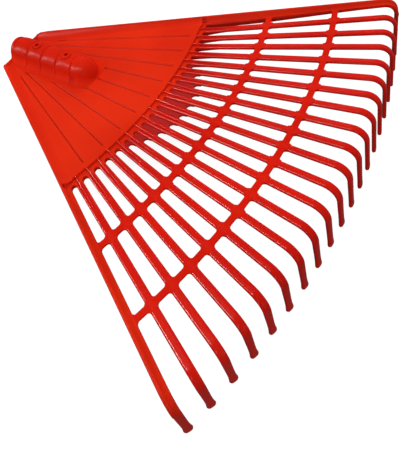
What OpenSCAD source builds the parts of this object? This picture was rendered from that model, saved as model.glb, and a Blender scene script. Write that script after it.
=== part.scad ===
// Fan leaf rake head, moulded in one piece: handle socket, fan plate, side rails, two cross bars and
// twenty-one hooked tines. Each region of the moulding is its own solid, and the solids meet face to face.
// The origin is the centre of the handle bore's mouth. +X runs along the bore towards the tines,
// +Y to the left edge of the fan, and +Z up, away from the tine points.

/* [Handle socket] */
// Radius of the bore that takes the wooden handle
bore_r = 12; // [10:0.5:13]
// Wall of the socket at its grooves
socket_wall = 2.2; // [2:0.2:3.4]
// Height of each barrel-shaped swelling above the grooves
barrel_swell = 1.8; // [0.6:0.2:2.2]
// Plain lip at the mouth, before the first barrel
mouth_lip = 4; // [2:1:8]
// Length of each barrel along the socket
barrel_pitch = 21.8; // [18:0.2:24]
// Length of the closed nose beyond the last groove
nose_len = 23.8; // [20:0.2:28]

/* [Handle screws] */
// Radius of the two screw holes in the top of the socket
screw_hole_r = 2.2; // [1.5:0.1:2.6]
// Radius of the raised ring around each screw hole
boss_r = 5.4; // [4:0.2:7]
// Height of the ring above the barrel's crown
boss_rise = 1.8; // [0.4:0.2:2.2]

/* [Socket fillet] */
// Radius of the hollow fillet between the socket and the plate
blend_r = 11; // [5:1:12]

/* [Fan plate] */
// Distance from the fan's centre to the bore's mouth
apex_back = 45; // [40:1:50]
// Fan centre to the plate's front edge, on the middle line
plate_edge_x = 240; // [220:5:255]
// Radius of the plate's curved front edge
plate_edge_r = 460; // [400:5:520]
// Plate thickness, which is also the step down to the tines
plate_t = 3; // [2.4:0.2:3.6]
// Plate surface below the bore's centre line
plate_drop = 3; // [2:0.5:5]
// Width of the shallow grooves that radiate over the plate
crease_w = 1.8; // [1:0.2:2.6]
// Chamfer on the corner at each end of the plate's rear edge
corner_cut = 2.5; // [1.5:0.5:4]

/* [Side rails] */
// Height of each side rail above the plate at its rear end
rail_h = 6.5; // [5:0.5:9]
// Height of each side rail above the edge tine at its front end
rail_end_h = 3; // [2:0.5:5]
// Thickness of each side rail
rail_t = 2.6; // [2:0.2:3.2]
// How far the rail's foot slopes in over the plate
rail_foot = 10; // [5:0.5:11]

/* [Tines] */
// Angle between neighbouring tines
tine_pitch = 3.1; // [3:0.01:3.15]
// Angle by which each edge tine stands closer to its neighbour
edge_tuck = 0.2; // [0:0.05:0.3]
// Width of a tine
tine_w = 7.9; // [6.5:0.1:8.1]
// Thickness of a tine
tine_t = 4.4; // [3.6:0.2:5]
// Fan centre to the tine points, on the middle line
point_x = 461; // [450:1:480]
// Radius of the curve through the tine points
point_r = 860; // [700:10:1000]
// Height of the tine tops above the points
hook_drop = 54; // [48:1:60]
// Inside radius of the hook
hook_r = 16; // [12:1:20]
// Angle that the hook turns through
hook_turn = 77; // [70:1:85]
// Width of the flared point
point_w = 8.8; // [8.2:0.1:9.4]
// Spine and web thickness
spine_w = 2.4; // [1.6:0.2:3]
// Length of the raised spine from the plate's edge
spine_len = 46; // [30:1:55]

/* [Webs and gap floors] */
// Depth of the webs under the tines
web_depth = 4; // [2:0.5:6]
// Length over which a web fades out
web_fade = 32; // [16:1:40]
// Thickness of the floors that close the middle gaps at their inner ends
gap_floor_t = 2.2; // [1.8:0.1:3]
// Length of the gap floor at the middle of the fan
gap_floor_reach = 33; // [20:1:40]
// How far from the middle line the gap floors go on, in tine pitches
gap_floor_span = 5.3; // [3:0.1:7]

/* [Cross bars] */
// Fan centre to the inner bar, on the middle line
inner_bar_x = 312; // [300:1:325]
// Radius of the inner bar's curve
inner_bar_r = 650; // [500:10:750]
// Fan centre to the outer bar, on the middle line
outer_bar_x = 385; // [370:1:400]
// Radius of the outer bar's curve
outer_bar_r = 720; // [500:10:800]
// Width of both bars
bar_w = 7; // [5:0.5:8]
// Thickness of both bars
bar_t = 3; // [2:0.2:3.4]
// Solid band between the plate's edge and the first windows
root_band_w = 8; // [7:1:12]

/* [Hidden] */
$fn = 96;
tine_count = 21;
half_count = (tine_count - 1) / 2;
fan_half = half_count * tine_pitch - edge_tuck;
plate_top = -plate_drop;
plate_low = plate_top - plate_t;
tine_top = plate_low;
tine_low = tine_top - tine_t;
rail_top = plate_top + rail_h;
rail_end_top = tine_top + rail_end_h;
groove_r = bore_r + socket_wall;
barrel_r = groove_r + barrel_swell;
barrel_count = 4;
bore_len = mouth_lip + barrel_count * barrel_pitch;
nose_x = bore_len + nose_len - barrel_r;
screw_x = [mouth_lip + 1.5 * barrel_pitch, mouth_lip + 3.5 * barrel_pitch];
boss_top = barrel_r + boss_rise;
blend_z = plate_top + blend_r;
blend_y = sqrt(pow(barrel_r + blend_r, 2) - blend_z * blend_z);
side_out = tine_w / 2;
corner_y = apex_back * tan(fan_half) + side_out / cos(fan_half);
rail_in = side_out - rail_t;
hook_mid_r = hook_r + tine_t / 2;
point_len = 9;
leg_len = (hook_drop - tine_t / 2 - hook_mid_r * (1 - cos(hook_turn))) / sin(hook_turn);
hook_reach = hook_mid_r * sin(hook_turn) + leg_len * cos(hook_turn);
root_under = 8;
tine_start = 4;
trim = 0.01;
past = 1;
nose_taper = 2;
fillet_root = 3;
crease_gap = 7;
crease_stop = 6;
window_overlap = 0.2;
spine_gap = 0.4;
rail_nose = 2;
top_cut = 0.5;
low_cut = 1.5;
hook_steps = 8;
hook_out = hook_r + tine_t;
far = 700;
red = "firebrick";

// Distance from the fan's centre, at angle a, to an arc of radius r that crosses the middle line at x.
function arc_at(x, r, a) = (x - r) * cos(a) + sqrt(r * r - pow((x - r) * sin(a), 2));
function tine_angle(k) = min(fan_half, max(-fan_half, (k - half_count) * tine_pitch));
function barrel_point(i, t) = [mouth_lip + (i + t) * barrel_pitch, groove_r + barrel_swell * sin(180 * t)];
function barrel_points(n) = [for (i = [0 : n - 1]) for (t = [0.08 : 0.12 : 0.93]) barrel_point(i, t)];

// Turns a child drawn along +X so that it lies along the fan at angle a.
module along(a) {
    translate([-apex_back, 0, 0])
        rotate([0, 0, a])
            children();
}

// Turns an outline drawn as [along the bore, radius] into a solid about the bore.
module about_bore() {
    rotate([90, 0, 90])
        rotate_extrude()
            rotate(90)
                mirror([0, 1])
                    children();
}

// A plain cylinder that fills the socket as far out as its grooves.
module cylinder_room() {
    rotate([0, 90, 0])
        cylinder(r = groove_r, h = nose_x);
}

module socket_outline() {
    polygon(concat([[0, 0], [0, groove_r], [mouth_lip, groove_r]], barrel_points(barrel_count),
        [[bore_len, groove_r], [bore_len, 0]]));
}

module nose_outline() {
    round_r = barrel_r;
    straight = nose_len - round_r;
    intersection() {
        union() {
            translate([bore_len, 0])
                square([straight, round_r]);
            translate([bore_len + straight, 0])
                circle(r = round_r);
        }
        polygon([[bore_len, 0], [bore_len, groove_r], [bore_len + nose_taper, round_r],
            [bore_len + nose_len + past, round_r], [bore_len + nose_len + past, 0]]);
    }
}

module socket_body() {
    about_bore()
        socket_outline();
    about_bore()
        nose_outline();
}

// The plain space that the plate leaves for the socket.
module socket_room() {
    rotate([0, 90, 0])
        translate([0, 0, -past])
            cylinder(r = barrel_r, h = nose_x + past);
    translate([nose_x, 0, 0])
        sphere(r = barrel_r);
}

module handle_socket() {
    color(red)
        difference() {
            about_bore()
                socket_outline();
            translate([-past, 0, 0])
                rotate([0, 90, 0])
                    cylinder(r = bore_r, h = bore_len + 2 * past);
            for (x = screw_x)
                translate([x, 0, 0])
                    cylinder(r = screw_hole_r, h = far);
        }
}

module socket_nose() {
    color(red)
        about_bore()
            nose_outline();
}

module screw_boss(x) {
    color(red)
        difference() {
            translate([x, 0, bore_r])
                cylinder(r = boss_r, h = boss_top - bore_r);
            about_bore()
                socket_outline();
            translate([x, 0, 0])
                cylinder(r = screw_hole_r, h = far);
        }
}

module screw_boss_rear() {
    screw_boss(screw_x[0]);
}

module screw_boss_front() {
    screw_boss(screw_x[1]);
}

// Half of the fillet's cross-section, as [out from the bore's axis, up].
module fillet_outline() {
    meet = barrel_r / (barrel_r + blend_r);
    difference() {
        polygon([[groove_r - fillet_root, plate_top], [blend_y, plate_top],
            [blend_y * meet, blend_z * meet], [groove_r - fillet_root, blend_z * meet]]);
        translate([blend_y, blend_z])
            circle(r = blend_r);
    }
}

// The fillet as one solid: along both sides of the socket and round its nose.
module fillet_solid() {
    for (side = [-1, 1])
        rotate([90, 0, 90])
            linear_extrude(nose_x)
                scale([side, 1])
                    fillet_outline();
    difference() {
        translate([nose_x, 0, 0])
            rotate_extrude()
                fillet_outline();
        translate([nose_x - far, -far / 2, -far / 2])
            cube([far, far, far]);
    }
}

module socket_fillets() {
    color(red)
        difference() {
            fillet_solid();
            socket_body();
            cylinder_room();
        }
}

// The fan's outline seen from above, between two lines offset from the edge tines.
module fan_outline(inset) {
    edge = inset / cos(fan_half);
    reach = far;
    translate([-apex_back, 0])
        polygon([[-edge / tan(fan_half), 0],
            [reach, reach * tan(fan_half) + edge],
            [reach, -reach * tan(fan_half) - edge]]);
}

module arc_outline(x, r) {
    translate([x - r - apex_back, 0])
        circle(r = r, $fn = 240);
}

// The plate seen from above, with its sides inset and its rear edges moved in.
module plate_outline(inset, rear) {
    difference() {
        intersection() {
            fan_outline(inset);
            arc_outline(plate_edge_x, plate_edge_r);
        }
        translate([rear - far, -far / 2])
            square([far, far]);
        for (side = [-1, 1])
            translate([0, side * corner_y])
                rotate(45)
                    square(corner_cut * sqrt(2) + 2 * rear, center = true);
    }
}

// A shallow V groove along the plate, from just clear of the socket to just short of the front edge.
function crease_from(a) =
    min(apex_back + bore_len + nose_len + crease_gap, (barrel_r + crease_gap) / max(abs(sin(a)), trim));

module crease(a) {
    from = crease_from(a);
    to = arc_at(plate_edge_x, plate_edge_r, a) - crease_stop;
    along(a)
        translate([from, 0, plate_top + crease_w * 0.15])
            rotate([45, 0, 0])
                translate([0, -crease_w / 2, -crease_w / 2])
                    cube([to - from, crease_w, crease_w]);
}

module fan_plate() {
    color(red)
        difference() {
            translate([0, 0, plate_low])
                linear_extrude(plate_t)
                    plate_outline(rail_in, 0);
            socket_room();
            for (k = [2 : 2 : tine_count - 3])
                crease(tine_angle(k));
        }
}

// The upstand that carries each side rail round the rear corner to the socket.
module rear_lip() {
    color(red)
        difference() {
            translate([0, 0, plate_top])
                linear_extrude(rail_h)
                    difference() {
                        plate_outline(rail_in, 0);
                        plate_outline(rail_in, rail_t);
                    }
            fillet_solid();
            socket_room();
        }
}

// The upright wall of one side rail, in line with its edge tine.
module rail_wall(side) {
    rail_end = arc_at(point_x, point_r, fan_half) - hook_reach;
    along(side * fan_half)
        translate([0, side * (rail_in + rail_t / 2), 0])
            rotate([90, 0, 0])
                linear_extrude(rail_t, center = true)
                    polygon([[0, tine_top], [0, rail_top], [rail_end - rail_nose, rail_end_top],
                        [rail_end, tine_top]]);
}

// The hollow slope from the rail's inner face down to the plate.
module rail_slope(side) {
    difference() {
        along(side * fan_half)
            rotate([90, 0, 90])
                linear_extrude(arc_at(plate_edge_x, plate_edge_r, fan_half))
                    scale([side, 1])
                        polygon([[rail_in, plate_top], [rail_in, plate_top + 0.6 * rail_h],
                            [rail_in - 0.2 * rail_foot, plate_top + 0.32 * rail_h],
                            [rail_in - 0.5 * rail_foot, plate_top + 0.1 * rail_h],
                            [rail_in - rail_foot, plate_top]]);
        translate([rail_t - far, -far / 2, -far / 2])
            cube([far, far, far]);
        translate([-far / 2, -blend_y, -far / 2])
            cube([far, 2 * blend_y, far]);
    }
}

module side_rail(side) {
    color(red) {
        difference() {
            rail_wall(side);
            translate([-far, -far / 2, -far / 2])
                cube([far, far, far]);
            translate([0, side * corner_y, 0])
                rotate([0, 0, 45])
                    cube([corner_cut * sqrt(2), corner_cut * sqrt(2), far], center = true);
        }
        rail_slope(side);
    }
}

module rail_left() {
    side_rail(1);
}

module rail_right() {
    side_rail(-1);
}

// The footprint of every tine, seen from above.
module tine_footprints(from) {
    for (k = [0 : tine_count - 1])
        along(tine_angle(k))
            translate([arc_at(plate_edge_x, plate_edge_r, tine_angle(k)) + from, -tine_w / 2])
                square([far, tine_w]);
    for (side = [-1, 1])
        along(side * fan_half)
            translate([arc_at(plate_edge_x, plate_edge_r, fan_half) + from + far / 2, side * side_out])
                square([far, 2], center = true);
}

module root_band() {
    color(red)
        translate([0, 0, tine_low])
            linear_extrude(tine_t)
                root_band_outline();
}

module root_band_outline() {
    difference() {
        intersection() {
            fan_outline(side_out - trim);
            difference() {
                arc_outline(plate_edge_x + root_band_w, plate_edge_r + root_band_w);
                arc_outline(plate_edge_x - root_under, plate_edge_r - root_under);
            }
        }
        tine_footprints(tine_start);
        for (k = [0 : tine_count - 2])
            window_start((tine_angle(k) + tine_angle(k + 1)) / 2);
    }
}

// The rounded inner end of the window between two tines.
module window_start(a) {
    at = arc_at(plate_edge_x, plate_edge_r, a) + root_band_w;
    end_r = at * sin(tine_pitch / 2) - tine_w / 2 + window_overlap;
    along(a)
        translate([at, 0])
            circle(r = end_r);
}

// One arc bar, cut into the short lengths that lie between the tines.
module cross_bar(x, r) {
    color(red)
        translate([0, 0, tine_top - bar_t])
            linear_extrude(bar_t)
                difference() {
                    intersection() {
                        fan_outline(0);
                        difference() {
                            arc_outline(x + bar_w / 2, r + bar_w / 2);
                            arc_outline(x - bar_w / 2, r - bar_w / 2);
                        }
                    }
                    tine_footprints(tine_start);
                }
}

module inner_cross_bar() {
    cross_bar(inner_bar_x, inner_bar_r);
}

module outer_cross_bar() {
    cross_bar(outer_bar_x, outer_bar_r);
}

module tine_spines() {
    color(red)
        for (k = [0 : tine_count - 1])
            along(tine_angle(k))
                translate([arc_at(plate_edge_x, plate_edge_r, tine_angle(k)), 0, tine_top])
                    rotate([90, 0, 0])
                        linear_extrude(spine_w, center = true)
                            polygon([[spine_gap, 0], [spine_gap, plate_t - spine_gap], [spine_len, 0]]);
}

// Webs under the tines, drawn out to the hook under the two edge tines.
module tine_webs() {
    color(red)
        for (k = [0 : tine_count - 1])
            along(tine_angle(k))
                translate([0, 0, tine_low])
                    rotate([90, 0, 0])
                        linear_extrude(spine_w, center = true)
                            web_outline(tine_angle(k), k == 0 || k == tine_count - 1);
}

// A web seen from the side, for the tine at angle a.
module web_outline(a, is_edge) {
    root = arc_at(plate_edge_x, plate_edge_r, a) - root_under;
    start = root + root_under + tine_start;
    full = is_edge ? arc_at(inner_bar_x, inner_bar_r, a) : start;
    faded = is_edge ? arc_at(point_x, point_r, a) - hook_reach : start + web_fade;
    polygon([[root, 0], [faded, 0], [full, -web_depth], [root, -web_depth]]);
}

// Thin floors between the tines, level with their undersides, that close the middle gaps next to the band.
module gap_floors() {
    color(red)
        translate([0, 0, tine_low])
            linear_extrude(gap_floor_t)
                difference() {
                    for (k = [0 : tine_count - 2])
                        gap_floor_outline((tine_angle(k) + tine_angle(k + 1)) / 2, abs(k + 0.5 - half_count));
                    root_band_outline();
                    tine_footprints(tine_start);
                }
}

// One gap floor from above, in the gap at angle a. Its outer end is hollowed to a rounded point.
module gap_floor_outline(a, from_middle) {
    start = arc_at(plate_edge_x, plate_edge_r, a) + root_band_w;
    reach = gap_floor_reach * (1 - pow(from_middle / gap_floor_span, 2));
    wide = (start + reach) * sin(tine_pitch / 2);
    if (from_middle < gap_floor_span)
        along(a)
            difference() {
                translate([start - wide, -wide])
                    square([wide + reach, 2 * wide]);
                translate([start + reach, 0])
                    scale([2, 1])
                        circle(r = wide - tine_w / 2 + window_overlap);
            }
}

// Cross-section of a tine, as [across, below the top surface], for half-width w and an end draw-in d.
// It is flat on top with its lower edges cut back.
function tine_section(w, d) = [[-w + top_cut + d, -d], [-w + d, -top_cut - d], [-w + d, -tine_t + low_cut],
    [-w + low_cut + d, -tine_t + d], [w - low_cut - d, -tine_t + d], [w - d, -tine_t + low_cut],
    [w - d, -top_cut - d], [w - top_cut - d, -d]];

// Stations along a tine's top, as [out, up, downward tilt, half-width, end draw-in].
function hook_stop(bend, t) = [bend + hook_out * sin(t), tine_top - hook_out * (1 - cos(t))];
function on_leg(foot, s, w, d) =
    [foot[0] + s * cos(hook_turn), foot[1] - s * sin(hook_turn), hook_turn, w, d];
function hook_stations(bend) = [for (i = [0 : hook_steps])
    concat(hook_stop(bend, hook_turn * i / hook_steps), [hook_turn * i / hook_steps, tine_w / 2, 0])];
function point_stations(foot) = [on_leg(foot, leg_len - point_len, tine_w / 2, 0),
    on_leg(foot, leg_len - 2, point_w / 2, 0), on_leg(foot, leg_len - 0.6, point_w / 2, 0.5),
    on_leg(foot, leg_len, point_w / 2, 1.3)];
function tine_stations(start, bend) = concat([[start, tine_top, 0, tine_w / 2, 0]], hook_stations(bend),
    point_stations(hook_stop(bend, hook_turn)));
function ring(s) =
    [for (p = tine_section(s[3], s[4])) [s[0] + p[1] * sin(s[2]), p[0], s[1] + p[1] * cos(s[2])]];

// Joins rings of n points each into one closed skin.
module skin(rings, n) {
    last = len(rings) - 1;
    sides = [for (i = [0 : last - 1]) for (j = [0 : n - 1])
        [i * n + j, i * n + (j + 1) % n, (i + 1) * n + (j + 1) % n, (i + 1) * n + j]];
    ends = [[for (j = [n - 1 : -1 : 0]) j], [for (j = [0 : n - 1]) last * n + j]];
    polyhedron([for (r = rings) for (p = r) p], concat(sides, ends));
}

module tine(k) {
    a = tine_angle(k);
    start = arc_at(plate_edge_x, plate_edge_r, a) + tine_start;
    bend = arc_at(point_x, point_r, a) - hook_reach;
    color(red)
        along(a)
            skin([for (s = tine_stations(start, bend)) ring(s)], 8);
}

NODES = ["handle_socket", "socket_nose", "screw_boss_rear", "screw_boss_front", "socket_fillets",
    "fan_plate", "rear_lip", "rail_left", "rail_right", "root_band", "tine_spines", "tine_webs",
    "gap_floors", "inner_cross_bar", "outer_cross_bar",
    "tine_01", "tine_02", "tine_03", "tine_04", "tine_05", "tine_06", "tine_07",
    "tine_08", "tine_09", "tine_10", "tine_11", "tine_12", "tine_13", "tine_14",
    "tine_15", "tine_16", "tine_17", "tine_18", "tine_19", "tine_20", "tine_21"];
first_tine = len(NODES) - 21;

handle_socket();
socket_nose();
screw_boss_rear();
screw_boss_front();
socket_fillets();
fan_plate();
rear_lip();
rail_left();
rail_right();
root_band();
tine_spines();
tine_webs();
gap_floors();
inner_cross_bar();
outer_cross_bar();
for (k = [0 : tine_count - 1])
    tine(k);
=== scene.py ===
"""Leaf rake head: a smooth moulded shape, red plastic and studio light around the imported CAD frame."""
import math

import bmesh
import bpy
from mathutils import Matrix, Vector


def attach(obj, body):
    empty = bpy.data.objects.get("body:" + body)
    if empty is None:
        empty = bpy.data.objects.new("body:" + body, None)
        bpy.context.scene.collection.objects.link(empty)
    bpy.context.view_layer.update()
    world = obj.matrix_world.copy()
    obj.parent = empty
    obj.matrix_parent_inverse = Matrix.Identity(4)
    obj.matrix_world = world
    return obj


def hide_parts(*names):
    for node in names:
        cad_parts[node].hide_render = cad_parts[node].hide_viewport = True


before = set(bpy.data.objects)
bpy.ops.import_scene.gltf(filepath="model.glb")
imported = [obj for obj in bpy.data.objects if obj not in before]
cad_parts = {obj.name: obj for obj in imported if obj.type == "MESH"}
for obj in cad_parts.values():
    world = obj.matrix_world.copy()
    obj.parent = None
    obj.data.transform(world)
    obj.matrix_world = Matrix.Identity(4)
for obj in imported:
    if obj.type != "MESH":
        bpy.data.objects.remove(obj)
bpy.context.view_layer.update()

# ---------------------------------------------------------------- sizes, in metres, as in the CAD model
BORE_R, GROOVE_R, BARREL_R = 0.012, 0.0142, 0.016
MOUTH_LIP, BARREL_PITCH, BARRELS, NOSE_LEN = 0.004, 0.0218, 4, 0.0238
BORE_LEN = MOUTH_LIP + BARRELS * BARREL_PITCH
NOSE_X = BORE_LEN + NOSE_LEN - BARREL_R
SCREW_X = (MOUTH_LIP + 1.5 * BARREL_PITCH, MOUTH_LIP + 3.5 * BARREL_PITCH)
HOLE_R, RING_R, RING_TOP = 0.0022, 0.0054, 0.0178
PLATE_TOP, PLATE_LOW = -0.003, -0.006
TINE_TOP, TINE_T, TINE_HALF = -0.006, 0.0044, 0.00395
RAIL_TOP, RAIL_END_TOP, RAIL_T, RAIL_FOOT = 0.0035, -0.003, 0.0026, 0.010
BLEND_R = 0.011
APEX_BACK = 0.045
TINES, PITCH, TUCK = 21, math.radians(3.1), math.radians(0.2)
MIDDLE_TINE = TINES // 2
FAN_HALF = MIDDLE_TINE * PITCH - TUCK
PLATE_EDGE, TINE_POINTS = (0.240, 0.460), (0.461, 0.860)
INNER_BAR, OUTER_BAR = (0.312, 0.650), (0.385, 0.720)
BAR_HALF, BAR_T, BAND_W, TINE_START = 0.0035, 0.003, 0.008, 0.004
HOOK_DROP, HOOK_R, HOOK_TURN = 0.054, 0.016, math.radians(77)
SPINE_LEN, WEB_HALF = 0.046, 0.0012
WEB_DEPTH, WEB_FADE = 0.004, 0.032
GAP_FLOOR_T, GAP_FLOOR_REACH, GAP_FLOOR_SPAN = 0.0022, 0.033, 5.3

BLEND_Z = PLATE_TOP + BLEND_R
HOOK_OUT, HOOK_MID = HOOK_R + TINE_T, HOOK_R + TINE_T / 2
LEG = (HOOK_DROP - TINE_T / 2 - HOOK_MID * (1 - math.cos(HOOK_TURN))) / math.sin(HOOK_TURN)
HOOK_REACH = HOOK_MID * math.sin(HOOK_TURN) + LEG * math.cos(HOOK_TURN)
RAIL_IN = TINE_HALF - RAIL_T
TINE_LOW = TINE_TOP - TINE_T
PROUD = 0.00003          # how far a covering surface stands above the one it covers


def arc_at(arc, a):
    """Distance from the fan's centre, at angle a, to an arc given as (crossing of the middle, radius)."""
    x, r = arc
    return (x - r) * math.cos(a) + math.sqrt(r * r - ((x - r) * math.sin(a)) ** 2)


def tine_angle(k):
    """Angle of tine k, counted from the right-hand edge; the edge tines stand a little further in."""
    return max(-FAN_HALF, min(FAN_HALF, (k - MIDDLE_TINE) * PITCH))


def on_fan(a, u, v, z):
    """Point at distance u from the fan's centre along angle a, v to the left of that line, at height z."""
    return (u * math.cos(a) - v * math.sin(a) - APEX_BACK, u * math.sin(a) + v * math.cos(a), z)


def u_at_x(a, v, x):
    """Distance along angle a at which a point v to the left of the line reaches x."""
    return (x + APEX_BACK + v * math.sin(a)) / math.cos(a)


def lerp(a, b, t):
    return a + (b - a) * t


def spread(a, b, n):
    """n + 1 evenly spaced values from a to b."""
    return [lerp(a, b, i / n) for i in range(n + 1)]


def full_turn(n):
    """n evenly spaced angles round a circle."""
    return spread(0, 2 * math.pi, n)[:-1]


def quarter(n):
    return spread(0, math.pi / 2, n)


# ---------------------------------------------------------------- mesh helpers
def loft(rings):
    """Closed skin through rings of equal length, with a flat cap on each end."""
    n = len(rings[0])
    verts = [p for ring in rings for p in ring]
    faces = [(i * n + j, i * n + (j + 1) % n, (i + 1) * n + (j + 1) % n, (i + 1) * n + j)
             for i in range(len(rings) - 1) for j in range(n)]
    last = (len(rings) - 1) * n
    faces += [tuple(range(n)), tuple(range(last, last + n))]
    return verts, faces


def joined(parts):
    """Several (vertices, faces) shells as one."""
    verts, faces = [], []
    for v, f in parts:
        base = len(verts)
        verts += v
        faces += [tuple(i + base for i in face) for face in f]
    return verts, faces


def new_object(name, shell, sharp=40):
    mesh = bpy.data.meshes.new(name)
    mesh.from_pydata(shell[0], [], shell[1])
    bm = bmesh.new()
    bm.from_mesh(mesh)
    bmesh.ops.remove_doubles(bm, verts=bm.verts, dist=1e-7)
    bmesh.ops.dissolve_degenerate(bm, edges=bm.edges, dist=1e-7)
    bmesh.ops.recalc_face_normals(bm, faces=bm.faces)
    bm.to_mesh(mesh)
    bm.free()
    mesh.shade_smooth()
    mesh.set_sharp_from_angle(angle=math.radians(sharp))
    obj = bpy.data.objects.new(name, mesh)
    bpy.context.scene.collection.objects.link(obj)
    return obj


def piece(name, shell, material, slot, *nodes, sharp=40):
    """A finished visible piece: a mesh that stands for the named CAD nodes."""
    obj = new_object(name, shell, sharp)
    obj.data.materials.append(material)
    obj.modifiers.new("even_normals", "WEIGHTED_NORMAL").keep_sharp = True
    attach(obj, "root")
    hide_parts(*nodes)
    return obj


def cut(obj, shell, sharp=40):
    """Takes a closed shell out of an object's mesh for good."""
    cutter = new_object("cutter", shell)
    mod = obj.modifiers.new("cut", "BOOLEAN")
    mod.operation, mod.solver, mod.object = "DIFFERENCE", "EXACT", cutter
    bpy.context.view_layer.update()
    graph = bpy.context.evaluated_depsgraph_get()
    mesh = bpy.data.meshes.new_from_object(obj.evaluated_get(graph))
    obj.modifiers.remove(mod)
    old, obj.data = obj.data, mesh
    bpy.data.meshes.remove(old)
    mesh.name = obj.name
    mesh.set_sharp_from_angle(angle=math.radians(sharp))
    cutter_mesh = cutter.data
    bpy.data.objects.remove(cutter)
    bpy.data.meshes.remove(cutter_mesh)


def wound(lines):
    """Closed skin through closed lines of equal length that stand one after another round an axis."""
    steps, n = len(lines), len(lines[0])
    faces = []
    for i in range(steps):
        this, after = i * n, (i + 1) % steps * n
        faces += [(this + j, this + (j + 1) % n, after + (j + 1) % n, after + j) for j in range(n)]
    return [p for line in lines for p in line], faces


# ---------------------------------------------------------------- socket
CROWN_SWELL, CROWN_PINCH = 0.0012, 0.0004    # along the top, barrels swell more and grooves are deeper
MOUTH_SWELL, MOUTH_ROUND = 0.0009, 0.0007
RING_ROUND, HOLE_ROUND, HOLE_GAP = 0.0013, 0.0008, 0.0004
PLATE_CUT_R = 0.0135     # the plate is cut away round the bore to this radius
NOSE_STEPS, ROUND_STEPS = 20, 96
# stations along one barrel, close together at its grooves
BARREL_STOPS = (0.0, 0.012, 0.03, 0.06, 0.11, 0.18, 0.28, 0.4, 0.5, 0.6, 0.72, 0.82, 0.89, 0.94, 0.97, 0.988)
SKIRT_STOPS = (0.0, 0.03, 0.08, 0.16, 0.3, 0.5, 0.7, 0.84, 0.92, 0.97)


def barrel_radius(x, theta):
    """Outer radius of the ribbed barrel at x, at angle theta from straight up."""
    if x <= MOUTH_LIP:
        return GROOVE_R + MOUTH_SWELL
    t = ((x - MOUTH_LIP) / BARREL_PITCH) % 1.0
    side = (1 - abs(2 * t - 1) ** 14) ** 0.7
    dome = math.sin(math.pi * t) ** 0.8
    top = max(0.0, math.cos(theta)) ** 3
    swell = (BARREL_R - GROOVE_R) * lerp(side, dome, 0.75 * top) + CROWN_SWELL * top * dome
    return GROOVE_R - CROWN_PINCH * top + swell


def about_bore(x, r, theta):
    return (x, r * math.sin(theta), r * math.cos(theta))


def socket_shell():
    """The ribbed barrel with its open bore, rounded at the mouth."""
    stops = [MOUTH_LIP * t for t in (0.5, 0.9)]
    stops += [MOUTH_LIP + (i + t) * BARREL_PITCH for i in range(BARRELS) for t in BARREL_STOPS] + [BORE_LEN]
    mouth, rim = barrel_radius(0, 0), MOUTH_ROUND
    lines = []
    for theta in full_turn(ROUND_STEPS):
        profile = [(0, mouth - rim), (rim * 0.3, mouth - rim * 0.3), (rim, mouth)]
        profile += [(x, barrel_radius(x, theta)) for x in stops]
        profile += [(BORE_LEN, BORE_R), (rim, BORE_R), (0, BORE_R + rim)]
        lines.append([about_bore(x, r, theta) for x, r in profile])
    return wound(lines)


def upright_rod(x, r, low, high):
    return loft([[(x + r * math.cos(a), r * math.sin(a), z) for a in full_turn(40)] for z in (low, high)])


def nose_shell():
    """The closed nose: a neck at the last groove, then a ball."""
    neck = ((0.0, 0.0), (0.0003, 0.0006), (0.001, 0.0011), (0.0025, 0.00155), (0.005, 0.00175))
    profile = [(BORE_LEN + x, GROOVE_R + swell) for x, swell in neck]
    profile += [(NOSE_X + BARREL_R * math.sin(a), BARREL_R * math.cos(a)) for a in quarter(NOSE_STEPS)[:-1]]
    profile.append((NOSE_X + BARREL_R, 0.00005))
    return loft([[about_bore(x, r, theta) for theta in full_turn(ROUND_STEPS)] for x, r in profile])


def ring_shell(x):
    """Raised soft ring round one screw hole."""
    low = BORE_R + 0.0004
    profile = [(HOLE_R, low), (RING_R, low), (RING_R, RING_TOP - 0.0016)]
    profile += [(RING_R - RING_ROUND * (1 - math.cos(a)), RING_TOP - RING_ROUND * (1 - math.sin(a)))
                for a in quarter(6)]
    profile += [(HOLE_R + HOLE_ROUND * (1 - math.sin(a)), RING_TOP - HOLE_ROUND * (1 - math.cos(a)))
                for a in quarter(6)]
    return wound([[(x + r * math.cos(t), r * math.sin(t), z) for r, z in profile] for t in full_turn(64)])


def skirt_section(r):
    """Cross-section of the fillet for a barrel of radius r: (out from the axis, up), top to foot."""
    out = math.sqrt((r + BLEND_R) ** 2 - BLEND_Z ** 2)
    start = math.pi + math.atan2(BLEND_Z, out)
    return [(out + BLEND_R * math.cos(a), BLEND_Z + BLEND_R * math.sin(a))
            for a in spread(start, 1.5 * math.pi, 14)]


def skirt_ring(x, out_x, out_y, r, pull=0.0):
    """One closed ring of the fillet, standing across its path; pull draws its foot in towards the nose."""
    full, local = skirt_section(BARREL_R), skirt_section(r)
    contact = math.atan2(local[0][1], local[0][0])
    # above the contact, three points that sink into the barrel
    line = [((r - sink) * math.cos(contact + rise), (r - sink) * math.sin(contact + rise))
            for rise, sink in ((0.36, 0.0004), (0.24, 0.00014), (0.12, 0.00003))]
    for i, (f, g) in enumerate(zip(full, local)):
        t = i / (len(full) - 1)
        line.append((lerp(lerp(g[0], f[0], t), local[0][0], pull), lerp(g[1], f[1], t)))
    under = PLATE_TOP - 0.0004
    ring = [(line[0][0] - 0.0012, line[0][1] - 0.0006)] + line + [(line[-1][0], under), (PLATE_CUT_R, under)]
    return [(x + out_x * d, out_y * d, z + PROUD) for d, z in ring]


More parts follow.
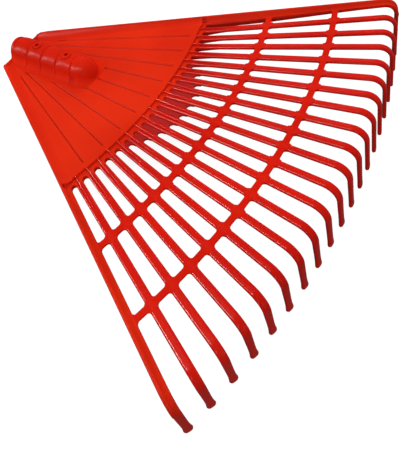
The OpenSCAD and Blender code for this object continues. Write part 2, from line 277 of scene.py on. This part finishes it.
def skirt_shell():
    """The fillet along both sides of the socket and round its nose."""
    stops = [0.0002] + [MOUTH_LIP + (i + t) * BARREL_PITCH for i in range(BARRELS) for t in SKIRT_STOPS]
    side = [(x, barrel_radius(x, math.pi / 2)) for x in stops + [BORE_LEN]]
    rings = [skirt_ring(x, 0, -1, r) for x, r in side]
    rings += [skirt_ring(NOSE_X, math.cos(a), math.sin(a), BARREL_R, 0.8 * math.cos(a) ** 2)
              for a in spread(-math.pi / 2, math.pi / 2, 36)]
    rings += [skirt_ring(x, 0, 1, r) for x, r in reversed(side)]
    return loft(rings)


# ---------------------------------------------------------------- plate
CREASE_HALF, CREASE_DEEP, CREASE_STOP = 0.0014, 0.0013, 0.006
EDGE_ROUND = 0.0008


def plate_columns():
    """Lines that run over the plate from its rear edge: (angle, offset to the left, crease depth)."""
    columns = [(-FAN_HALF, -RAIL_IN, 0.0), (-FAN_HALF, 0.004, 0.0)]
    for k in range(2, TINES - 2, 2):
        a = tine_angle(k)
        columns.append((a - PITCH, 0.0, 0.0))
        columns += [(a, CREASE_HALF * t, CREASE_DEEP * (1 - abs(t)) ** 0.8)
                    for t in (-1, -0.75, -0.5, -0.25, 0, 0.25, 0.5, 0.75, 1)]
    columns += [(tine_angle(TINES - 3) + PITCH, 0.0, 0.0), (FAN_HALF, -0.004, 0.0), (FAN_HALF, RAIL_IN, 0.0)]
    return columns


def plate_shell():
    """The flat sector plate, with creases that fade out just before its front edge."""
    rings = []
    for a, v, deep in plate_columns():
        rear, front = u_at_x(a, v, 0), arc_at(PLATE_EDGE, a)
        flat = front - EDGE_ROUND
        stop = flat - CREASE_STOP
        line = [(u, PLATE_TOP - deep) for u in spread(rear, stop - 0.003, 24)]
        line += [(stop - 0.001, PLATE_TOP - deep * 0.7), (stop, PLATE_TOP - deep * 0.2),
                 (stop + 0.001, PLATE_TOP), (flat, PLATE_TOP)]
        line += [(flat + EDGE_ROUND * math.sin(t), PLATE_TOP - EDGE_ROUND * (1 - math.cos(t)))
                 for t in quarter(5)[1:]]
        rings.append([on_fan(a, u, v, z) for u, z in line + [(front, PLATE_LOW), (rear, PLATE_LOW)]])
    return loft(rings)


# ---------------------------------------------------------------- rails and rear lip
CORNER_DIP, CORNER_LEN = 0.0026, 0.014
SLOPE_POWER = 2.4        # how hollow the slopes beside the rails and the rim are
TINE_FOOT, LIP_FOOT, LIP_RISE = 0.0048, 0.004, 0.0025    # slopes beyond the plate and along the rear rim
LIP_START = 0.0145       # the rear rim begins this far beside the bore's axis
RAIL_START = u_at_x(FAN_HALF, 0, 0)
RAIL_BEND = arc_at(TINE_POINTS, FAN_HALF) - HOOK_REACH


def rounded_wall(v_in, v_out, low, high):
    """Upright wall section with a round top: (across, up)."""
    r = (v_out - v_in) / 2
    mid = (v_in + v_out) / 2
    crown = [(mid + r * math.cos(a), high - r + r * math.sin(a)) for a in spread(0, math.pi, 10)]
    return [(v_out, low)] + crown + [(v_in, low)]


def corner_dip(along):
    """How far the rim is rounded down at the rear corner, a given length along the rail."""
    return CORNER_DIP * max(0.0, 1 - along / CORNER_LEN) ** 2


def rail_height(u):
    """Height of the rail's top at distance u from the fan's centre."""
    along = u - RAIL_START
    return lerp(RAIL_TOP, RAIL_END_TOP, along / (RAIL_BEND - RAIL_START)) - corner_dip(along)


def hook_top(bend, turn):
    """Top of a tine's hook, turned down by an angle past its bend: (out from the centre, height)."""
    return bend + HOOK_OUT * math.sin(turn), TINE_TOP - HOOK_OUT * (1 - math.cos(turn))


def rail_frames():
    """Stations along the edge tine's top, round its hook: (out, height, tilt, rail height above it)."""
    frames = [(u, TINE_TOP, 0.0, rail_height(u) - TINE_TOP)
              for u in spread(RAIL_START + 0.006, RAIL_BEND, 40)]
    for t in spread(0, 1, 16)[1:]:
        height = (RAIL_END_TOP - TINE_TOP) * math.cos(t * math.pi / 2) ** 0.8
        frames.append((*hook_top(RAIL_BEND, t * HOOK_TURN), t * HOOK_TURN, max(-0.0004, height - 0.0004 * t)))
    return frames


def in_frame(side, place, v, h):
    """Point v to the fan's outside and h above the edge tine's surface at one of its stations."""
    u, z, tilt, _ = place
    return on_fan(side * FAN_HALF, u + h * math.sin(tilt), side * v, z + h * math.cos(tilt))


def rail_wall_shell(side):
    """The upstanding rail along one side, its end drawn out round the edge tine's hook."""
    rings = []
    for x, v_out in ((0.0, 0.55), (0.0005, 0.75), (0.0013, 0.9), (0.003, 1.0)):
        wall = rounded_wall(RAIL_IN, lerp(RAIL_IN, TINE_HALF, v_out), TINE_TOP, RAIL_TOP - corner_dip(x))
        rings.append([on_fan(side * FAN_HALF, u_at_x(FAN_HALF, v, x), side * v, z) for v, z in wall])
    for place in rail_frames():
        wall = rounded_wall(RAIL_IN, TINE_HALF, -0.0008, place[3])
        rings.append([in_frame(side, place, v, h) for v, h in wall])
    return loft(rings)


def slope_ring(height, foot, base):
    """Hollow slope section from the rail's inner face to the plate: (inward from the face, up)."""
    curve = [(foot * t, base + height * (1 - t) ** SLOPE_POWER) for t in spread(0, 1, 12)]
    return [(-0.0006, base - 0.0005), (-0.0006, base + height)] + curve + [(foot, base - 0.0005)]


def rail_slope_shell(side):
    """The hollow slope between the rail and the plate."""
    a = side * FAN_HALF
    height = RAIL_TOP - PLATE_TOP - CORNER_DIP - 0.0008
    rings = [[on_fan(a, u_at_x(FAN_HALF, RAIL_IN - d, 0.001), side * (RAIL_IN - d), z + PROUD)
              for d, z in slope_ring(height, RAIL_FOOT, PLATE_TOP)]]
    for u in spread(RAIL_START + 0.010, arc_at(PLATE_EDGE, FAN_HALF) - 0.0004, 24):
        height = rail_height(u) - PLATE_TOP - 0.0012
        rings.append([on_fan(a, u, side * (RAIL_IN - d), z + PROUD)
                      for d, z in slope_ring(height, RAIL_FOOT, PLATE_TOP)])
    return loft(rings)


def rail_foot_shell(side):
    """The hollow slope between the rail and the edge tine's top, beyond the plate."""
    rings = []
    for place in rail_frames():
        if place[0] > arc_at(PLATE_EDGE, FAN_HALF) - 0.002:
            section = slope_ring(place[3] * 0.9, TINE_FOOT, 0.0)
            rings.append([in_frame(side, place, RAIL_IN - d, h + PROUD) for d, h in section])
    return loft(rings)


def lip_shell(side):
    """The rim along the rear edge, from the rail's corner to the socket."""
    corner = APEX_BACK * math.tan(FAN_HALF) + (RAIL_IN + RAIL_T / 2) / math.cos(FAN_HALF)
    wall = rounded_wall(0.0, RAIL_T, PLATE_LOW, RAIL_TOP - CORNER_DIP)
    slope = [(RAIL_T + LIP_FOOT * t, PLATE_TOP + PROUD + LIP_RISE * (1 - t) ** SLOPE_POWER)
             for t in spread(0, 1, 8)]
    section = wall[:0:-1] + slope + [(RAIL_T + LIP_FOOT, PLATE_TOP - 0.0005), (RAIL_T, PLATE_LOW)]
    return loft([[(x, side * y, z) for x, z in section] for y in spread(LIP_START, corner, 12)])


# ---------------------------------------------------------------- root band, spines and webs
BAND_ROUND, BAND_BACK = 0.0010, 0.006
SPINE_HIGH, SPINE_HALF = 0.0026, (0.0009, 0.0006)
FLOOR_CUT = 0.012        # how far a gap floor's underside slants back at its corners


def band_columns():
    """Angles across the root band, close together round each window's end: (angle, window angle, radius)."""
    columns = [(-FAN_HALF, None, 0.0)]
    for k in range(TINES - 1):
        a0, a1 = tine_angle(k), tine_angle(k + 1)
        mid = (a0 + a1) / 2
        at = arc_at(PLATE_EDGE, mid) + BAND_W
        r = at * math.sin((a1 - a0) / 2) - TINE_HALF + 0.0002
        reach = r + BAND_ROUND
        columns.append((mid - (reach + 0.0003) / at, mid, r))
        columns += [(mid + reach * math.sin(t) / at, mid, r) for t in spread(-math.pi / 2, math.pi / 2, 20)]
        columns.append((mid + (reach + 0.0003) / at, mid, r))
    columns.append((FAN_HALF, None, 0.0))
    return columns


def window_rim(a, mid, wide):
    """Where the band ends along angle a: at the round end of the window round mid, or at its own edge."""
    at = arc_at(PLATE_EDGE, a) + BAND_W
    if mid is None:
        return at
    y = abs(a - mid) * at
    return at - math.sqrt(wide * wide - y * y) if y < wide else at


def band_shell():
    """The band that the tines grow from, with the windows' round ends cut into it."""
    rings = []
    high = TINE_TOP + PROUD
    for a, mid, r in band_columns():
        v = math.copysign(TINE_HALF - 0.0001, a) if mid is None else 0.0
        back = arc_at(PLATE_EDGE, a) - BAND_BACK
        edge = [(window_rim(a, mid, r + BAND_ROUND * (1 - math.sin(t))),
                 high - BAND_ROUND * (1 - math.cos(t))) for t in quarter(6)]
        top = [(back, high), (back + 0.004, high), (lerp(back + 0.004, edge[0][0], 0.5), high)]
        line = top + edge + [(window_rim(a, mid, r), TINE_LOW), (back, TINE_LOW)]
        rings.append([on_fan(a, u, v, z) for u, z in line])
    return loft(rings)


def ridge_section(half, high):
    """Round-topped ridge: (across, up) from one foot over the crest to the other."""
    arch = [(half * math.cos(t), high * math.sin(t) ** 0.8 if 0 < t < math.pi else 0.0)
            for t in spread(0, math.pi, 8)]
    return [(half, -0.0006)] + arch + [(-half, -0.0006)]


def spine_shell(k):
    """The raised spine on the root of tine k, lower and narrower towards its outer end."""
    a = tine_angle(k)
    start = arc_at(PLATE_EDGE, a) - 0.0006
    rings = []
    for t in spread(0, 1, 14):
        high = SPINE_HIGH * (1 - t) ** 0.8 + 0.00005
        section = ridge_section(lerp(*SPINE_HALF, t), high)
        rings.append([on_fan(a, start + SPINE_LEN * t, v, TINE_TOP + z) for v, z in section])
    return loft(rings)


def web_line(k):
    """Lower edge of the web under tine k: (out from the centre, depth below the tine)."""
    a = tine_angle(k)
    edge = arc_at(PLATE_EDGE, a)
    start = edge + TINE_START
    if k in (0, TINES - 1):
        full, faded = arc_at(INNER_BAR, a), arc_at(TINE_POINTS, a) - HOOK_REACH
    else:
        full, faded = start + 0.0005, start + WEB_FADE
    eased = [(lerp(full, faded, t), WEB_DEPTH * (1 - t)) for t in spread(0, 1, 14)]
    return [(edge - 0.008, WEB_DEPTH), (start, WEB_DEPTH)] + eased


def web_shell(k):
    """The stiffening web under tine k, round along its lower edge."""
    rings = []
    for u, deep in web_line(k):
        low = TINE_LOW - deep
        right = [(WEB_HALF, TINE_LOW + 0.0015), (WEB_HALF, lerp(low, TINE_LOW, 0.3)),
                 (WEB_HALF * 0.85, low + 0.0004), (WEB_HALF * 0.4, low)]
        section = right + [(-v, z) for v, z in reversed(right)]
        rings.append([on_fan(tine_angle(k), u, v, z) for v, z in section])
    return loft(rings)


def gap_offset(k):
    """How many pitches the gap beside tine k lies from the fan's middle line."""
    return abs(k + 0.5 - MIDDLE_TINE)


def gap_floor_shell(k):
    """Thin floor in the gap between two tines, level with their undersides, hollowed to a point outside."""
    mid = (tine_angle(k) + tine_angle(k + 1)) / 2
    start = arc_at(PLATE_EDGE, mid) + BAND_W
    reach = GAP_FLOOR_REACH * (1 - (gap_offset(k) / GAP_FLOOR_SPAN) ** 2)
    wide = (start + reach) * math.sin(PITCH / 2) - 0.0005
    r = wide - TINE_HALF + 0.0007
    low, high = TINE_LOW + 0.0001, TINE_LOW + GAP_FLOOR_T
    rings = []
    for y in [-wide] + [r * math.sin(t) for t in spread(-math.pi / 2, math.pi / 2, 24)] + [wide]:
        tip = start + reach - 2 * math.sqrt(max(0.0, r * r - y * y))
        under = tip - FLOOR_CUT * (abs(y) / wide) ** 3
        line = [(start - 0.007, high), (tip - 0.0008, high), (tip - 0.0003, high - 0.0002),
                (tip, high - 0.0006), (under, low), (start - 0.007, low)]
        rings.append([on_fan(mid, u, y, z) for u, z in line])
    return loft(rings)


# ---------------------------------------------------------------- cross bars
CORNER_R, BAR_ROUND, BAR_DRAFT = 0.0028, 0.0011, 0.0008


def bar_segment(arc, k):
    """The length of a cross bar between two tines, with round corners where it runs into them."""
    a0, a1 = tine_angle(k), tine_angle(k + 1)
    radius = arc_at(arc, (a0 + a1) / 2)
    near = [-TINE_HALF + 0.00015, -0.0015, 0.0] + [CORNER_R * (1 - math.cos(t)) for t in quarter(8)[1:]]
    columns = [(a0 + math.asin((d + TINE_HALF) / radius), d) for d in near]
    columns += [(a1 - math.asin((d + TINE_HALF) / radius), d) for d in reversed(near)]
    rings = []
    for a, d in columns:
        flare = CORNER_R - math.sqrt(max(0.0, CORNER_R ** 2 - (CORNER_R - max(d, 0.0)) ** 2))
        half = BAR_HALF + flare
        outer = [(half - BAR_ROUND * (1 - math.sin(t)), TINE_TOP + PROUD - BAR_ROUND * (1 - math.cos(t)))
                 for t in quarter(6)]
        outer.append((half - BAR_DRAFT, TINE_TOP - BAR_T))
        line = [(-u, z) for u, z in reversed(outer)] + outer
        rings.append([on_fan(a, arc_at(arc, a) + u, 0.0, z) for u, z in line])
    return loft(rings)


# ---------------------------------------------------------------- tines
TOP_ROUND, TOP_CROWN = 0.0019, 0.00012
HOOK_STEPS = 18
POINT_HALF = 0.0044
# the leg below the hook narrows, then flares: (share of its length, half-width)
LEG_WAIST = ((0.3, 0.00375), (0.55, 0.0036), (0.72, 0.0037), (0.81, 0.0040), (0.86, 0.00425))
POINT_FROM, POINT_TO = 0.885, 0.983


def tine_section(half):
    """Section of a tine, flat on top and round below: (across, up)."""
    corner = min(TOP_ROUND, half * 0.8)
    flat = half - corner
    drop = TOP_CROWN + TOP_ROUND
    right = [(flat * t, -TOP_CROWN * t * t) for t in (0.5, 0.85)]
    right += [(flat + corner * math.sin(t), -TOP_CROWN - TOP_ROUND * (1 - math.cos(t)))
              for t in quarter(5)]
    right += [(half * math.cos(t), -drop - (TINE_T - drop) * math.sin(t)) for t in quarter(6)[1:-1]]
    left = [(-y, z) for y, z in reversed(right)]
    return [(0.0, 0.0)] + right + [(0.0, -TINE_T)] + left


def tine_stations(k):
    """Stations along a tine's top: (out from the centre, height, tilt, half-width, shrink to its middle)."""
    a = tine_angle(k)
    start = arc_at(PLATE_EDGE, a) + TINE_START
    bend = arc_at(TINE_POINTS, a) - HOOK_REACH
    stations = [(start, TINE_TOP - 0.0003, 0.0, TINE_HALF * 0.9, 0.0)]
    stations += [(u, TINE_TOP, 0.0, TINE_HALF, 0.0) for u in spread(start + 0.0035, bend, 12)]
    stations += [(*hook_top(bend, t), t, TINE_HALF, 0.0) for t in spread(0, HOOK_TURN, HOOK_STEPS)[1:]]
    foot_u, foot_z = hook_top(bend, HOOK_TURN)
    leg = [(s, half, 0.0) for s, half in LEG_WAIST]
    leg += [(lerp(POINT_FROM, POINT_TO, math.sin(t)), POINT_HALF * (0.25 + 0.75 * math.cos(t) ** 0.8),
             0.55 * max(0.0, math.sin(t) - 0.7) / 0.3) for t in quarter(9)]
    for s, half, shrink in leg:
        stations.append((foot_u + s * LEG * math.cos(HOOK_TURN), foot_z - s * LEG * math.sin(HOOK_TURN),
                         HOOK_TURN, half, shrink))
    return stations


def tine_shell(k):
    """Tine k from its root over the hook to the flared point."""
    rings = []
    for u, z, tilt, half, shrink in tine_stations(k):
        section = [(across, lerp(up, -TINE_T / 2, shrink)) for across, up in tine_section(half)]
        rings.append([on_fan(tine_angle(k), u + up * math.sin(tilt), across, z + up * math.cos(tilt))
                      for across, up in section])
    return loft(rings)


# ---------------------------------------------------------------- materials
DARKER, CREASE_SHADE = (0.86, 0.7, 0.8), (0.3, 0.1, 0.2)      # shares of the base colour: a darker tone for random drift, and painted shade for creases and hollows
FINE_BUMP, FLOW_BUMP = 0.0001, 0.0006


def tinted(base, share):
    return tuple(c * f for c, f in zip(base, share))


def red_plastic(name, base, roughness, shine, grain):
    """Moulded polypropylene: colour drift, flow marks, fine grain, scuffs and paler edges, with painted shade
    darkening its creases and hollows.
    """
    material = bpy.data.materials.new(name)
    material.use_nodes = True
    tree = material.node_tree
    shader = tree.nodes["Principled BSDF"]
    place = tree.nodes.new("ShaderNodeTexCoord").outputs["Object"]

    def noise(scale, detail):
        node = tree.nodes.new("ShaderNodeTexNoise")
        node.inputs["Scale"].default_value = scale
        node.inputs["Detail"].default_value = detail
        tree.links.new(place, node.inputs["Vector"])
        return node.outputs["Fac"]

    def remap(value, low, high, to_low, to_high):
        node = tree.nodes.new("ShaderNodeMapRange")
        for key, number in zip(("From Min", "From Max", "To Min", "To Max"), (low, high, to_low, to_high)):
            node.inputs[key].default_value = number
        tree.links.new(value, node.inputs["Value"])
        return node.outputs["Result"]

    def bump(height, distance, below=None):
        node = tree.nodes.new("ShaderNodeBump")
        node.inputs["Strength"].default_value = grain
        node.inputs["Distance"].default_value = distance
        tree.links.new(height, node.inputs["Height"])
        if below:
            tree.links.new(below, node.inputs["Normal"])
        return node.outputs["Normal"]

    def blend(factor, first, second):
        node = tree.nodes.new("ShaderNodeMix")
        node.data_type = "RGBA"
        tree.links.new(factor, node.inputs["Factor"])
        for socket, colour in ((node.inputs["A"], first), (node.inputs["B"], second)):
            if isinstance(colour, tuple):
                socket.default_value = (*colour, 1)
            else:
                tree.links.new(colour, socket)
        return node.outputs["Result"]

    drift = blend(remap(noise(9, 3), 0.35, 0.65, 0, 1), tinted(base, DARKER), base)
    point = tree.nodes.new("ShaderNodeNewGeometry").outputs["Pointiness"]
    paler = tuple(min(1.0, c * 1.05 + 0.012) for c in base)
    edged = blend(remap(point, 0.52, 0.60, 0, 0.5), drift, paler)
    # painted shade: concave creases and hollows, picked out by pointiness, are darkened to a dim share of the
    # base colour
    colour = blend(remap(point, 0.44, 0.495, 1.0, 0), edged, tinted(base, CREASE_SHADE))
    tree.links.new(colour, shader.inputs["Base Color"])

    total = tree.nodes.new("ShaderNodeMath")
    total.operation = "ADD"
    scuffs = remap(noise(140, 6), 0.58, 0.75, 0, 0.08)
    patches = remap(noise(22, 4), 0.3, 0.7, roughness - 0.05, roughness + 0.05)
    tree.links.new(scuffs, total.inputs[0])
    tree.links.new(patches, total.inputs[1])
    tree.links.new(total.outputs[0], shader.inputs["Roughness"])

    skin = bump(noise(45, 2), FLOW_BUMP, bump(noise(900, 3), FINE_BUMP))
    tree.links.new(skin, shader.inputs["Normal"])
    shader.inputs["Specular IOR Level"].default_value = shine
    shader.inputs["Specular Tint"].default_value = (1, 0.8, 0.77, 1)
    return material


SOCKET_RED = red_plastic("socket_red", (0.80, 0.020, 0.005), 0.26, 0.045, 0.05)
SKIRT_RED = red_plastic("skirt_red", (0.86, 0.026, 0.006), 0.45, 0.005, 0.08)
FRAME_RED = red_plastic("frame_red", (0.82, 0.029, 0.006), 0.42, 0.025, 0.08)
RAIL_RED = red_plastic("rail_red", (0.82, 0.027, 0.006), 0.34, 0.06, 0.06)
# painted shade: the cross bars get a darker copy of the frame plastic
BAR_SHADE_RED = red_plastic("bar_painted_shade_red", (0.76, 0.014, 0.004), 0.30, 0.035, 0.06)
# painted shade: the floors in the recesses between the tines get a darker, duller copy of the plastic
GAP_SHADE_RED = red_plastic("gap_painted_shade_red", (0.46, 0.020, 0.018), 0.35, 0.10, 0.12)
TINE_RED = red_plastic("tine_red", (0.76, 0.012, 0.004), 0.20, 0.26, 0.015)


# ---------------------------------------------------------------- the pieces
def build_socket():
    """The socket, its nose, screw rings and fillet."""
    shell = piece("socket_shell", socket_shell(), SOCKET_RED, "socket_red", "handle_socket", sharp=50)
    for x in SCREW_X:
        cut(shell, upright_rod(x, HOLE_R + HOLE_GAP, 0.008, 0.03), sharp=50)
    piece("socket_nose_cap", nose_shell(), SOCKET_RED, "socket_red", "socket_nose", sharp=60)
    piece("screw_ring_rear", ring_shell(SCREW_X[0]), SOCKET_RED, "socket_red", "screw_boss_rear", sharp=50)
    piece("screw_ring_front", ring_shell(SCREW_X[1]), SOCKET_RED, "socket_red", "screw_boss_front", sharp=50)
    piece("socket_skirt", skirt_shell(), SKIRT_RED, "socket_red", "socket_fillets", sharp=60)


def build_frame():
    """The plate, rim, rails, root band with its spines, webs and floors, and the cross bars."""
    plate = piece("plate_sheet", plate_shell(), FRAME_RED, "frame_red", "fan_plate", sharp=35)
    bore = loft([[about_bore(x, PLATE_CUT_R, t) for t in full_turn(48)] for x in (-0.002, BORE_LEN)])
    cut(plate, bore, sharp=35)
    piece("lip_rim", joined([lip_shell(-1), lip_shell(1)]), FRAME_RED, "frame_red", "rear_lip")
    for name, side in (("rail_right", -1), ("rail_left", 1)):
        shells = [rail_wall_shell(side), rail_slope_shell(side), rail_foot_shell(side)]
        piece(name + "_rim", joined(shells), RAIL_RED, "frame_red", name)
    piece("root_band_web", band_shell(), FRAME_RED, "frame_red", "root_band")
    tines = range(TINES)
    piece("tine_spine_set", joined([spine_shell(k) for k in tines]), TINE_RED, "frame_red", "tine_spines")
    piece("tine_web_set", joined([web_shell(k) for k in tines]), FRAME_RED, "frame_red", "tine_webs")
    gaps = [k for k in range(TINES - 1) if gap_offset(k) < GAP_FLOOR_SPAN]
    piece("gap_floor_set", joined([gap_floor_shell(k) for k in gaps]), GAP_SHADE_RED, "frame_red", "gap_floors")
    for name, arc in (("inner_cross_bar", INNER_BAR), ("outer_cross_bar", OUTER_BAR)):
        segments = [bar_segment(arc, k) for k in range(TINES - 1)]
        piece(name + "_set", joined(segments), BAR_SHADE_RED, "frame_red", name)


def build_tines():
    for k in range(TINES):
        node = "tine_%02d" % (k + 1)
        piece(node + "_prong", tine_shell(k), TINE_RED, "tine_red", node, sharp=60)


build_socket()
build_frame()
build_tines()


# ---------------------------------------------------------------- floor, light and camera
SOCKET_LOW, POINT_LOW = -0.0162, -0.0604       # lowest points of the socket and of the edge tines
EDGE_POINT_X = arc_at(TINE_POINTS, FAN_HALF) * math.cos(FAN_HALF) - APEX_BACK
STAGE_REACH, WALL_LOW, WALL_HIGH, WALL_STEPS = 6.0, -1.0, 6.0, 48
FLOOR_DROP, FLOOR_GLOW = 0.0002, 0.93
MIDDLE = Vector((0.22, 0.0, -0.01))


def stage_sheet(name, verts, faces, material):
    """Part of the stage, seen by the camera only, so that it doesn't wash out the plastic."""
    mesh = bpy.data.meshes.new(name)
    mesh.from_pydata(verts, [], faces)
    mesh.materials.append(material)
    obj = bpy.data.objects.new(name, mesh)
    bpy.context.scene.collection.objects.link(obj)
    obj.visible_diffuse = obj.visible_glossy = False
    return obj


def stage_white():
    material = bpy.data.materials.new("floor_white")
    material.use_nodes = True
    shader = material.node_tree.nodes["Principled BSDF"]
    shader.inputs["Base Color"].default_value = (0.2, 0.2, 0.2, 1)
    shader.inputs["Roughness"].default_value = 0.9
    shader.inputs["Specular IOR Level"].default_value = 0.1
    shader.inputs["Emission Color"].default_value = (1, 1, 1, 1)
    shader.inputs["Emission Strength"].default_value = FLOOR_GLOW
    material.cycles.emission_sampling = "NONE"
    return material


def build_stage():
    """A pale floor that touches the socket's mouth and the edge tines' points, and a pale wall round it."""
    material = stage_white()
    slope = (SOCKET_LOW - POINT_LOW) / EDGE_POINT_X
    corners = [(STAGE_REACH * x, STAGE_REACH * y) for x, y in ((-1, -1), (1, -1), (1, 1), (-1, 1))]
    ground = [(x, y, SOCKET_LOW - slope * x - FLOOR_DROP) for x, y in corners]
    stage_sheet("floor", ground, [(0, 1, 2, 3)], material)
    r, n = 0.98 * STAGE_REACH, 2 * WALL_STEPS
    verts = [(r * math.cos(t), r * math.sin(t), z)
             for t in full_turn(WALL_STEPS) for z in (WALL_LOW, WALL_HIGH)]
    faces = [(i, i + 1, (i + 3) % n, (i + 2) % n) for i in range(0, n, 2)]
    stage_sheet("wall", verts, faces, material).visible_shadow = False


def soft_light(name, direction, distance, size, power, diffuse=True, glossy=True):
    """A square soft box that faces the middle of the head."""
    data = bpy.data.lights.new(name, "AREA")
    data.shape = "SQUARE"
    data.size, data.energy = size, power
    light = bpy.data.objects.new(name, data)
    way = Vector(direction).normalized()
    light.location = MIDDLE + way * distance
    light.rotation_euler = way.to_track_quat("Z", "Y").to_euler()
    light.visible_diffuse, light.visible_glossy = diffuse, glossy
    bpy.context.scene.collection.objects.link(light)


# direction and power of a row of small soft boxes whose reflections run along the tines' left edges
RIBBON = (((-0.80, -0.40, 0.42), 4.5), ((-0.62, -0.48, 0.60), 4.5), ((-0.42, -0.50, 0.73), 10),
          ((-0.17, -0.50, 0.84), 4.5), ((0.08, -0.47, 0.89), 4.5))
WORLD_LIGHT = 0.10


def build_light():
    for i, (way, power) in enumerate(RIBBON):
        soft_light("ribbon_%d" % i, way, 1.3, 0.2, power, diffuse=False)
    soft_light("front_box", (0.50, -0.75, 0.45), 1.3, 0.2, 1.0)
    soft_light("top_box", (0.0, 0.0, 1.0), 1.5, 0.8, 8, glossy=False)
    soft_light("rear_box", (-0.90, -0.35, 0.35), 1.4, 0.4, 3)
    soft_light("far_box", (-0.20, 0.80, 0.65), 1.5, 0.8, 12, glossy=False)
    soft_light("left_box", (-0.25, -0.72, 0.55), 1.3, 0.4, 3, glossy=False)
    soft_light("hook_box", (0.90, -0.20, 0.15), 1.3, 0.5, 2.6, glossy=False)
    world = bpy.data.worlds.new("studio")
    world.use_nodes = True
    sky = world.node_tree.nodes["Background"]
    sky.inputs["Color"].default_value = (1, 1, 1, 1)
    sky.inputs["Strength"].default_value = WORLD_LIGHT
    bpy.context.scene.world = world
    bpy.context.scene.view_settings.view_transform = "Standard"


CAMERA_AT = Vector((0.4360, -0.2519, 0.3090))
CAMERA_AZ, CAMERA_DOWN, CAMERA_ROLL = 130.83, 59.26, -12.42        # degrees
SENSOR, LENS = 36.0, 38.09


def build_camera():
    az, down, roll = (math.radians(v) for v in (CAMERA_AZ, CAMERA_DOWN, CAMERA_ROLL))
    look = Vector((math.cos(down) * math.cos(az), math.cos(down) * math.sin(az), -math.sin(down)))
    level = Vector((math.sin(az), -math.cos(az), 0))
    upright = level.cross(look)
    right = level * math.cos(roll) + upright * math.sin(roll)
    up = upright * math.cos(roll) - level * math.sin(roll)
    data = bpy.data.cameras.new("camera")
    data.sensor_fit, data.sensor_width, data.lens = "HORIZONTAL", SENSOR, LENS
    data.clip_start = 0.01
    camera = bpy.data.objects.new("camera", data)
    turn = Matrix((right, up, -look)).transposed().to_4x4()
    turn.translation = CAMERA_AT
    camera.matrix_world = turn
    bpy.context.scene.collection.objects.link(camera)
    bpy.context.scene.camera = camera


build_stage()
build_light()
build_camera()
